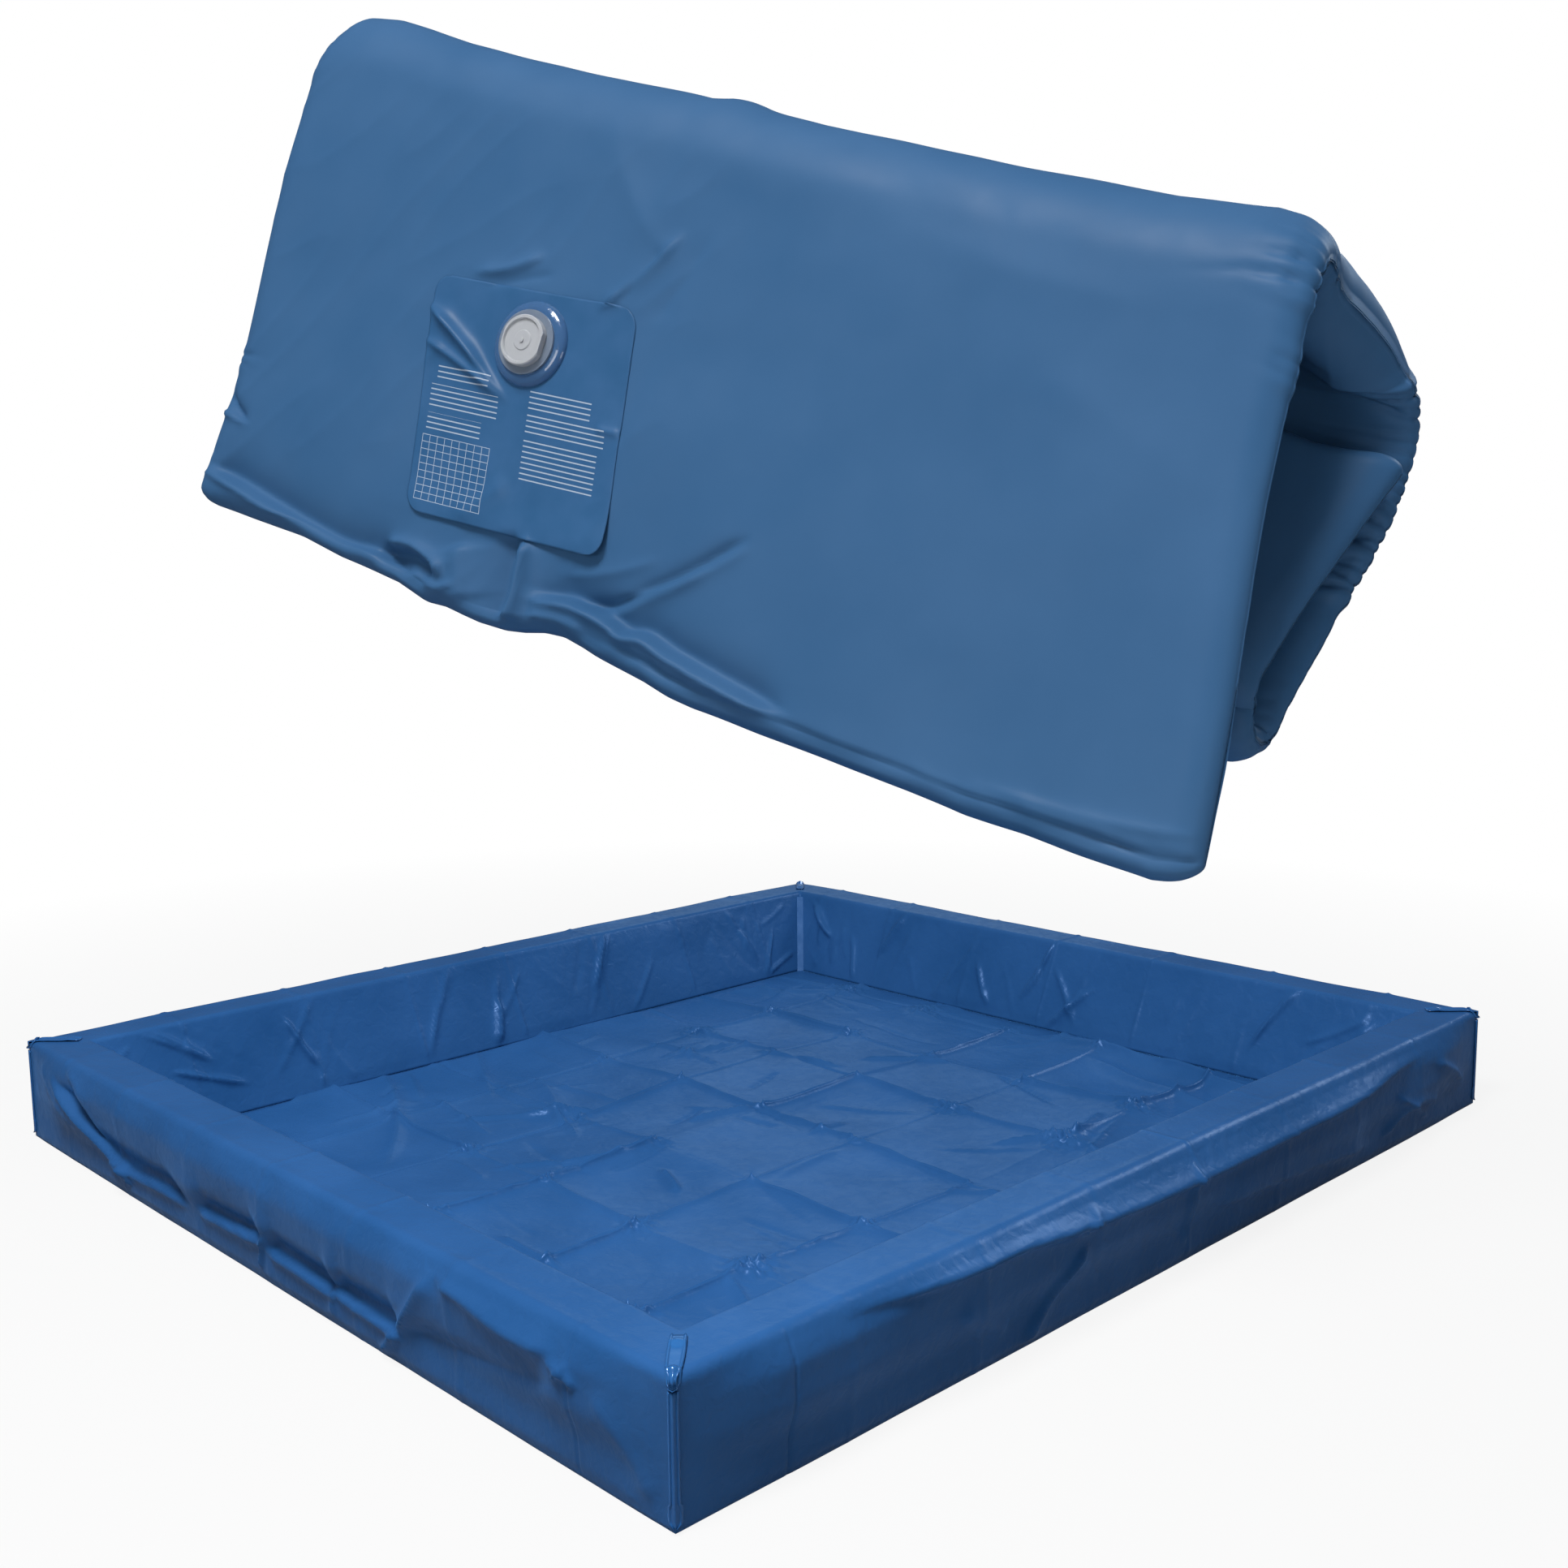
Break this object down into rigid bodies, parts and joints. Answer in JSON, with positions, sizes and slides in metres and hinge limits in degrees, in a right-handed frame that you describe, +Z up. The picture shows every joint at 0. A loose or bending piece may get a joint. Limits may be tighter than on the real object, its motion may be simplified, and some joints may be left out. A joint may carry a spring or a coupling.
{
  "type": "waterbed",
  "caption": "Softside waterbed: foam tray with a blue vinyl safety liner, and the folded water core with its filling valve held above it.",
  "frame": {"origin": "centre of the tray's underside, on the floor", "axes": "+Z up, +X along the tray's 2.0 m width, +Y along its 2.2 m length towards the back of the picture"},
  "size_m": [2.2659, 2.203, 2.1676],
  "materials": {
    "foam": "open polyurethane foam",
    "liner": "thin satin blue vinyl",
    "weld": "glossy welded blue vinyl",
    "core": "satin blue vinyl",
    "fleece": "polyester fleece",
    "patch": "smooth thin blue vinyl",
    "clear_blue": "clear blue vinyl",
    "clear_plastic": "clear plastic",
    "white_plastic": "translucent white plastic"
  },
  "bodies": {
    "tray": {"foam_rail_front": "foam", "foam_rail_right": "foam", "foam_rail_back": "foam", "foam_rail_left": "foam", "liner_floor": "liner", "liner_side_front": "liner", "liner_side_right": "liner", "liner_side_back": "liner", "liner_side_left": "liner", "corner_weld_outer_front_right": "weld", "corner_weld_outer_back_right": "weld", "corner_weld_outer_back_left": "weld", "corner_weld_outer_front_left": "weld", "corner_strip_top_front_right": "weld", "corner_strip_top_back_right": "weld", "corner_strip_top_back_left": "weld", "corner_strip_top_front_left": "weld", "corner_weld_inner_front_right": "weld", "corner_weld_inner_back_right": "weld", "corner_weld_inner_back_left": "weld", "corner_weld_inner_front_left": "weld"},
    "core": {"core_bladder": "core", "core_fleece": "fleece", "label_patch": "patch", "valve_flange": "clear_blue", "valve_neck": "clear_plastic"},
    "plug": {"valve_plug": "white_plastic"},
    "cap": {"valve_cap": "white_plastic"}
  },
  "joints": [
    {"name": "core_lift", "type": "slide", "parent": "tray", "child": "core", "axis": [0, 0, 1], "range_m": [0, 0.4]},
    {"name": "plug_pull", "type": "slide", "parent": "core", "child": "plug", "axis": [0.3273, -0.9251, 0.1926], "range_m": [0, 0.06]},
    {"name": "cap_turn", "type": "hinge", "parent": "plug", "child": "cap", "pos_m": [0.01521, -0.53924, 1.52319], "axis": [0.3273, -0.9251, 0.1926], "range_deg": [0, 360]}
  ]
}
